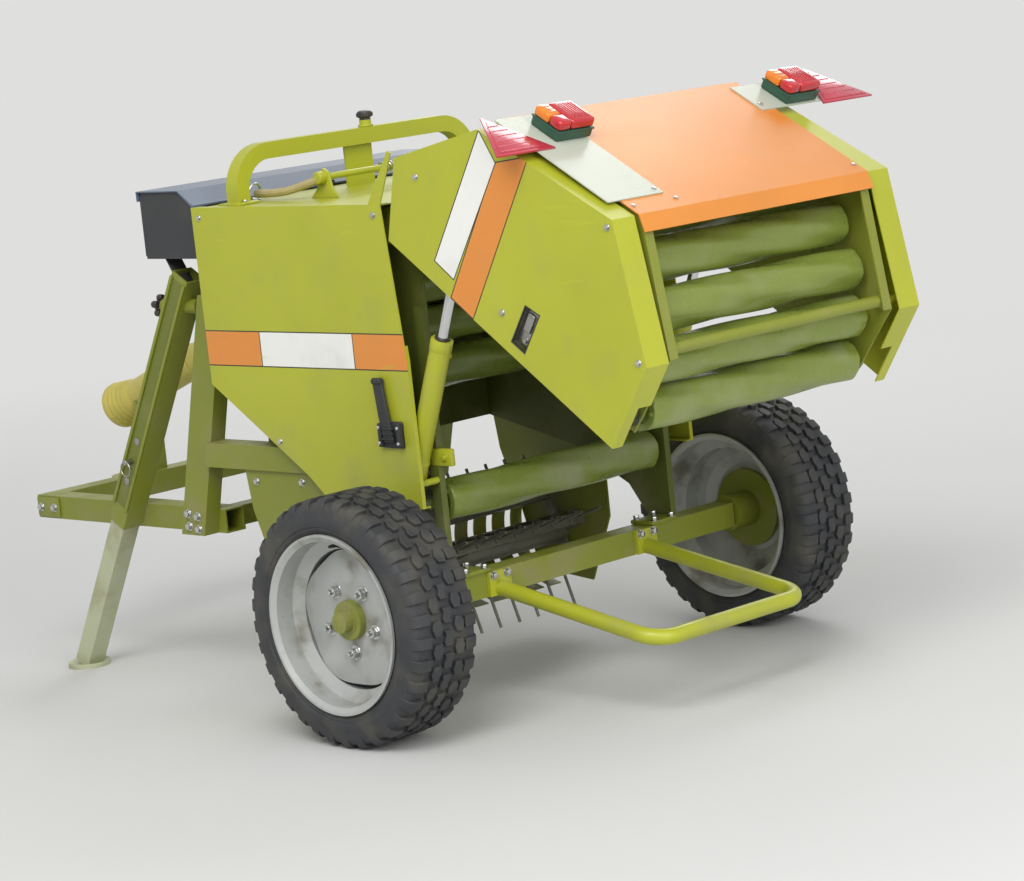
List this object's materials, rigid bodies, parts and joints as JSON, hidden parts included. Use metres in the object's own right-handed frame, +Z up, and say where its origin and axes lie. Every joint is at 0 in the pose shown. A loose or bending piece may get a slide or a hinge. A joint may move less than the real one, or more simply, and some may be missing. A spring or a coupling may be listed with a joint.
{
  "type": "round baler",
  "caption": "Small towed round baler on two wheels and a parking leg, with a raised roller tailgate, tined pickup, twine box, power shaft and bale ramp.",
  "frame": {"origin": "middle of the outline seen from above, at the height of the ground under the tyres", "axes": "+X to the machine's left side, +Y to its rear, +Z up"},
  "size_m": [1.504, 2.4959, 1.4024],
  "materials": {
    "body_green": "gloss",
    "dark_green": "satin",
    "roller_green": "satin",
    "orange": "gloss",
    "box_grey": "satin",
    "lid_grey": "satin",
    "rim_silver": "satin",
    "tyre": "matt",
    "rubber_black": "satin",
    "shaft_yellow": "matt",
    "gearbox": "satin",
    "leg_pale": "satin",
    "steel": "satin",
    "lamp_body": "satin",
    "lens_red": "gloss",
    "reflector": "gloss"
  },
  "bodies": {
    "frame": {"axle": "dark_green", "chamber_walls": "dark_green", "top_deck": "body_green", "front_wall": "dark_green", "hinge_brackets": "dark_green", "long_beams": "dark_green", "side_cover_left": "body_green", "side_cover_right": "body_green", "cover_latch": "rubber_black", "top_arch": "body_green", "filler_cap": "rubber_black", "twine_box": "box_grey", "twine_box_lugs": "box_grey", "guide_rail": "body_green", "gearbox": "gearbox", "pto_shaft": "shaft_yellow", "hitch_beams": "dark_green", "hitch_cross": "dark_green", "hitch_struts_front": "dark_green", "hitch_struts_rear": "dark_green", "pickup_sides": "dark_green", "pickup_strippers": "dark_green", "feed_floor": "dark_green", "bale_ramp": "body_green", "cylinder_pins": "steel"},
    "wheel_left": {"hub_left": "dark_green", "rim_left": "rim_silver", "tyre_left": "tyre"},
    "wheel_right": {"hub_right": "dark_green", "rim_right": "rim_silver", "tyre_right": "tyre"},
    "twine_lid": {"twine_lid": "lid_grey"},
    "parking_leg": {"parking_leg": "leg_pale"},
    "pickup_reel": {"pickup_reel": "steel"},
    "roller_front_1": {"roller_front_1": "roller_green"},
    "roller_front_2": {"roller_front_2": "roller_green"},
    "roller_front_3": {"roller_front_3": "roller_green"},
    "roller_front_4": {"roller_front_4": "roller_green"},
    "roller_front_5": {"roller_front_5": "roller_green"},
    "roller_front_6": {"roller_front_6": "roller_green"},
    "tailgate": {"gate_sides": "dark_green", "gate_cover_left": "body_green", "gate_cover_right": "body_green", "gate_lid": "orange", "gate_top": "body_green", "gate_cross_bar": "dark_green", "lamp_plates": "body_green", "lamp_bodies": "lamp_body", "lamp_lenses": "lens_red", "reflectors": "reflector"},
    "roller_gate_1": {"roller_gate_1": "roller_green"},
    "roller_gate_2": {"roller_gate_2": "roller_green"},
    "roller_gate_3": {"roller_gate_3": "roller_green"},
    "roller_gate_4": {"roller_gate_4": "roller_green"},
    "roller_gate_5": {"roller_gate_5": "roller_green"},
    "roller_gate_6": {"roller_gate_6": "roller_green"},
    "roller_gate_7": {"roller_gate_7": "roller_green"},
    "cylinder_barrels": {"cylinder_barrels": "body_green"},
    "cylinder_rods": {"cylinder_rods": "steel"}
  },
  "joints": [
    {"name": "wheel_left_spin", "type": "hinge", "parent": "frame", "child": "wheel_left", "pos_m": [0.652, 0.469, 0.2885], "axis": [1, 0, 0], "continuous": true},
    {"name": "wheel_right_spin", "type": "hinge", "parent": "frame", "child": "wheel_right", "pos_m": [-0.652, 0.469, 0.2885], "axis": [1, 0, 0], "continuous": true},
    {"name": "pickup_spin", "type": "hinge", "parent": "frame", "child": "pickup_reel", "pos_m": [0, 0.049, 0.265], "axis": [1, 0, 0], "continuous": true},
    {"name": "roller_front_1_spin", "type": "hinge", "parent": "frame", "child": "roller_front_1", "pos_m": [0, 0.29236, 1.13939], "axis": [1, 0, 0], "continuous": true},
    {"name": "roller_front_2_spin", "type": "hinge", "parent": "frame", "child": "roller_front_2", "pos_m": [0, 0.21309, 1.06469], "axis": [1, 0, 0], "continuous": true},
    {"name": "roller_front_3_spin", "type": "hinge", "parent": "frame", "child": "roller_front_3", "pos_m": [0, 0.16011, 0.96951], "axis": [1, 0, 0], "continuous": true},
    {"name": "roller_front_4_spin", "type": "hinge", "parent": "frame", "child": "roller_front_4", "pos_m": [0, 0.13839, 0.86277], "axis": [1, 0, 0], "continuous": true},
    {"name": "roller_front_5_spin", "type": "hinge", "parent": "frame", "child": "roller_front_5", "pos_m": [0, 0.14997, 0.75446], "axis": [1, 0, 0], "continuous": true},
    {"name": "roller_front_6_spin", "type": "hinge", "parent": "frame", "child": "roller_front_6", "pos_m": [0, 0.4377, 0.49448], "axis": [1, 0, 0], "continuous": true},
    {"name": "tailgate_tilt", "type": "hinge", "parent": "frame", "child": "tailgate", "pos_m": [0, 0.598, 1.15], "axis": [-1, 0, 0], "range_deg": [0, 54.8]},
    {"name": "roller_gate_1_spin", "type": "hinge", "parent": "tailgate", "child": "roller_gate_1", "pos_m": [0, 1.1045, 0.72982], "axis": [1, 0, 0], "continuous": true},
    {"name": "roller_gate_2_spin", "type": "hinge", "parent": "tailgate", "child": "roller_gate_2", "pos_m": [0, 1.13798, 0.83348], "axis": [1, 0, 0], "continuous": true},
    {"name": "roller_gate_3_spin", "type": "hinge", "parent": "tailgate", "child": "roller_gate_3", "pos_m": [0, 1.13855, 0.9424], "axis": [1, 0, 0], "continuous": true},
    {"name": "roller_gate_4_spin", "type": "hinge", "parent": "tailgate", "child": "roller_gate_4", "pos_m": [0, 1.10616, 1.0464], "axis": [1, 0, 0], "continuous": true},
    {"name": "roller_gate_5_spin", "type": "hinge", "parent": "tailgate", "child": "roller_gate_5", "pos_m": [0, 1.04384, 1.13574], "axis": [1, 0, 0], "continuous": true},
    {"name": "roller_gate_6_spin", "type": "hinge", "parent": "tailgate", "child": "roller_gate_6", "pos_m": [0, 0.95742, 1.20205], "axis": [1, 0, 0], "continuous": true},
    {"name": "roller_gate_7_spin", "type": "hinge", "parent": "tailgate", "child": "roller_gate_7", "pos_m": [0, 0.855, 1.23912], "axis": [1, 0, 0], "continuous": true},
    {"name": "cylinder_tilt", "type": "hinge", "parent": "frame", "child": "cylinder_barrels", "pos_m": [0, 0.439, 0.57], "axis": [-1, 0, 0], "range_deg": [0, 3.4]},
    {"name": "rod_slide", "type": "slide", "parent": "cylinder_barrels", "child": "cylinder_rods", "axis": [0, -0.3941, -0.9191], "range_m": [0, 0.1023]},
    {"name": "leg_slide", "type": "slide", "parent": "frame", "child": "parking_leg", "axis": [0, 0.5071, 0.8619], "range_m": [0, 0.42]},
    {"name": "twine_lid_hinge", "type": "hinge", "parent": "frame", "child": "twine_lid", "pos_m": [0, -0.231, 1.205], "axis": [-1, 0, 0], "range_deg": [0, 85]}
  ],
  "couplings": [
    {"joint": "roller_front_2_spin", "follows": "roller_front_1_spin", "ratio": 1},
    {"joint": "roller_front_3_spin", "follows": "roller_front_1_spin", "ratio": 1},
    {"joint": "roller_front_4_spin", "follows": "roller_front_1_spin", "ratio": 1},
    {"joint": "roller_front_5_spin", "follows": "roller_front_1_spin", "ratio": 1},
    {"joint": "roller_front_6_spin", "follows": "roller_front_1_spin", "ratio": 1},
    {"joint": "roller_gate_1_spin", "follows": "roller_front_1_spin", "ratio": 1},
    {"joint": "roller_gate_2_spin", "follows": "roller_front_1_spin", "ratio": 1},
    {"joint": "roller_gate_3_spin", "follows": "roller_front_1_spin", "ratio": 1},
    {"joint": "roller_gate_4_spin", "follows": "roller_front_1_spin", "ratio": 1},
    {"joint": "roller_gate_5_spin", "follows": "roller_front_1_spin", "ratio": 1},
    {"joint": "roller_gate_6_spin", "follows": "roller_front_1_spin", "ratio": 1},
    {"joint": "roller_gate_7_spin", "follows": "roller_front_1_spin", "ratio": 1},
    {"joint": "cylinder_tilt", "follows": "tailgate_tilt", "ratio": 0.0615},
    {"joint": "rod_slide", "follows": "tailgate_tilt", "m_per_rad": 0.10673}
  ]
}
